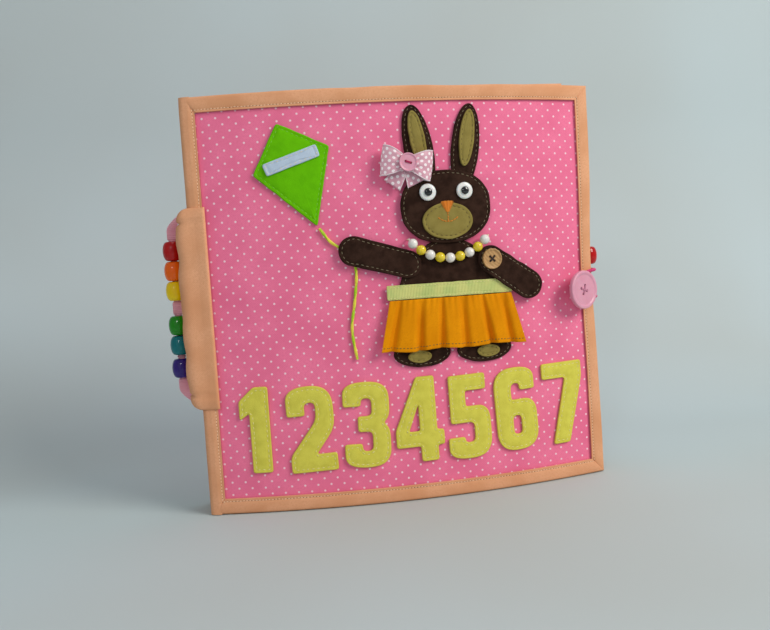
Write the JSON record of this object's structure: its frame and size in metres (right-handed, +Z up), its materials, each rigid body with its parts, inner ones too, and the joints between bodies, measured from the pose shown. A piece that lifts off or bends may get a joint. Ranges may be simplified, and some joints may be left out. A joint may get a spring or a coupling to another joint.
{
  "type": "quiet book",
  "caption": "Soft fabric activity book with padded bound covers, sliding spine beads, button and loop closing, and felt play pieces on the front.",
  "frame": {"origin": "middle of the back cover's bottom edge, on the surface the book stands on", "axes": "+Z up, +X from the spine to the fore-edge, -Y out of the front cover"},
  "size_m": [0.2733, 0.0564, 0.2438],
  "materials": {
    "pink_cotton": "printed cotton poplin, matt",
    "peach_cotton": "cotton binding, matt",
    "brown_felt": "wool-mix felt, matt",
    "olive_felt": "wool-mix felt, matt",
    "green_felt": "felt, matt",
    "pale_blue_felt": "felt, matt",
    "orange_cotton": "gathered cotton, matt",
    "grosgrain": "grosgrain ribbon, low sheen",
    "pink_ribbon": "dotted ribbon, low sheen",
    "pink_plastic": "polished polyester button",
    "hot_pink_elastic": "braided elastic cord",
    "white_plastic": "polished",
    "black_plastic": "polished",
    "yellow_plastic": "pearl",
    "thread": "cotton thread",
    "line_cord": "two-colour cord",
    "light_wood": "waxed",
    "bead_red_paint": "gloss lacquer",
    "bead_orange_paint": "gloss lacquer",
    "bead_yellow_paint": "gloss lacquer",
    "bead_green_paint": "gloss lacquer",
    "bead_teal_paint": "gloss lacquer",
    "bead_purple_paint": "gloss lacquer"
  },
  "bodies": {
    "back": {"back_cover": "pink_cotton", "back_cover_binding": "peach_cotton", "elastic_loop": "hot_pink_elastic", "loop_bead": "bead_red_paint"},
    "spine": {"spine_strip": "peach_cotton", "spine_strap": "peach_cotton", "bead_ribbon": "pink_ribbon"},
    "leaf_front": {"leaf_1": "pink_cotton", "leaf_1_binding": "peach_cotton"},
    "leaf_back": {"leaf_2": "pink_cotton", "leaf_2_binding": "peach_cotton"},
    "arm": {"swing_arm": "brown_felt"},
    "skirt": {"skirt": "orange_cotton"},
    "necklace": {"necklace_thread": "thread", "pearl_1": "white_plastic", "pearl_2": "yellow_plastic", "pearl_3": "white_plastic", "pearl_4": "yellow_plastic", "pearl_5": "white_plastic", "pearl_6": "yellow_plastic", "pearl_7": "white_plastic", "pearl_8": "yellow_plastic", "pearl_9": "white_plastic"},
    "red_bead": {"bead_red": "bead_red_paint"},
    "orange_bead": {"bead_orange": "bead_orange_paint"},
    "yellow_bead": {"bead_yellow": "bead_yellow_paint"},
    "green_bead": {"bead_green": "bead_green_paint"},
    "teal_bead": {"bead_teal": "bead_teal_paint"},
    "purple_bead": {"bead_purple": "bead_purple_paint"},
    "front": {"arm_button": "light_wood", "body_felt": "brown_felt", "bow_button": "pink_plastic", "bow_ribbon": "pink_ribbon", "closing_button": "pink_plastic", "ear_left": "brown_felt", "ear_lining_left": "olive_felt", "ear_lining_right": "olive_felt", "ear_right": "brown_felt", "eye_left": "white_plastic", "eye_right": "white_plastic", "foot_left": "brown_felt", "foot_right": "brown_felt", "front_cover": "pink_cotton", "front_cover_binding": "peach_cotton", "head_felt": "brown_felt", "kite_felt": "green_felt", "kite_line": "line_cord", "kite_strip": "pale_blue_felt", "muzzle_felt": "olive_felt", "pupil_left": "black_plastic", "pupil_right": "black_plastic", "raised_arm": "brown_felt", "waistband": "grosgrain"}
  },
  "joints": [
    {"name": "spine_turn", "type": "hinge", "parent": "back", "child": "spine", "pos_m": [-0.122, 0.0033, 0], "axis": [0, 0, -1], "range_deg": [0, 90], "deforming": ["spine_strap", "elastic_loop"]},
    {"name": "front_cover_turn", "type": "hinge", "parent": "spine", "child": "front", "pos_m": [-0.122, -0.0247, 0], "axis": [0, 0, -1], "range_deg": [0, 90]},
    {"name": "leaf_front_turn", "type": "hinge", "parent": "spine", "child": "leaf_front", "pos_m": [-0.1177, -0.0139, 0], "axis": [0, 0, -1], "range_deg": [0, 30]},
    {"name": "leaf_back_turn", "type": "hinge", "parent": "spine", "child": "leaf_back", "pos_m": [-0.1177, -0.0075, 0], "axis": [0, 0, -1], "range_deg": [-30, 0]},
    {"name": "arm_swing", "type": "hinge", "parent": "front", "child": "arm", "pos_m": [0.05024, -0.04001, 0.13825], "axis": [0.107, -0.9943, 0], "range_deg": [-5, 75]},
    {"name": "skirt_lift", "type": "hinge", "parent": "front", "child": "skirt", "pos_m": [0.02524, -0.0426, 0.1177], "axis": [-0.9986, -0.0526, 0], "range_deg": [0, 60]},
    {"name": "necklace_lift", "type": "hinge", "parent": "front", "child": "necklace", "pos_m": [0.02524, -0.03841, 0.15225], "axis": [-0.9986, -0.0536, 0], "range_deg": [0, 30]},
    {"name": "red_bead_slide", "type": "slide", "parent": "spine", "child": "red_bead", "axis": [0, 0, 1], "range_m": [-0.004, 0.0085]},
    {"name": "green_bead_slide", "type": "slide", "parent": "spine", "child": "green_bead", "axis": [0, 0, 1], "range_m": [-0.0017, 0.004]},
    {"name": "purple_bead_slide", "type": "slide", "parent": "spine", "child": "purple_bead", "axis": [0, 0, 1], "range_m": [-0.0065, 0]},
    {"name": "orange_bead_slide", "type": "slide", "parent": "spine", "child": "orange_bead", "axis": [0, 0, 1], "range_m": [-0.004, 0.0085]},
    {"name": "yellow_bead_slide", "type": "slide", "parent": "spine", "child": "yellow_bead", "axis": [0, 0, 1], "range_m": [-0.004, 0.0085]},
    {"name": "teal_bead_slide", "type": "slide", "parent": "spine", "child": "teal_bead", "axis": [0, 0, 1], "range_m": [-0.0017, 0.004]}
  ],
  "couplings": [
    {"joint": "front_cover_turn", "follows": "spine_turn", "ratio": 1},
    {"joint": "leaf_front_turn", "follows": "spine_turn", "ratio": 0.33333},
    {"joint": "leaf_back_turn", "follows": "spine_turn", "ratio": -0.33333},
    {"joint": "orange_bead_slide", "follows": "red_bead_slide", "ratio": 1},
    {"joint": "yellow_bead_slide", "follows": "red_bead_slide", "ratio": 1},
    {"joint": "teal_bead_slide", "follows": "green_bead_slide", "ratio": 1}
  ]
}
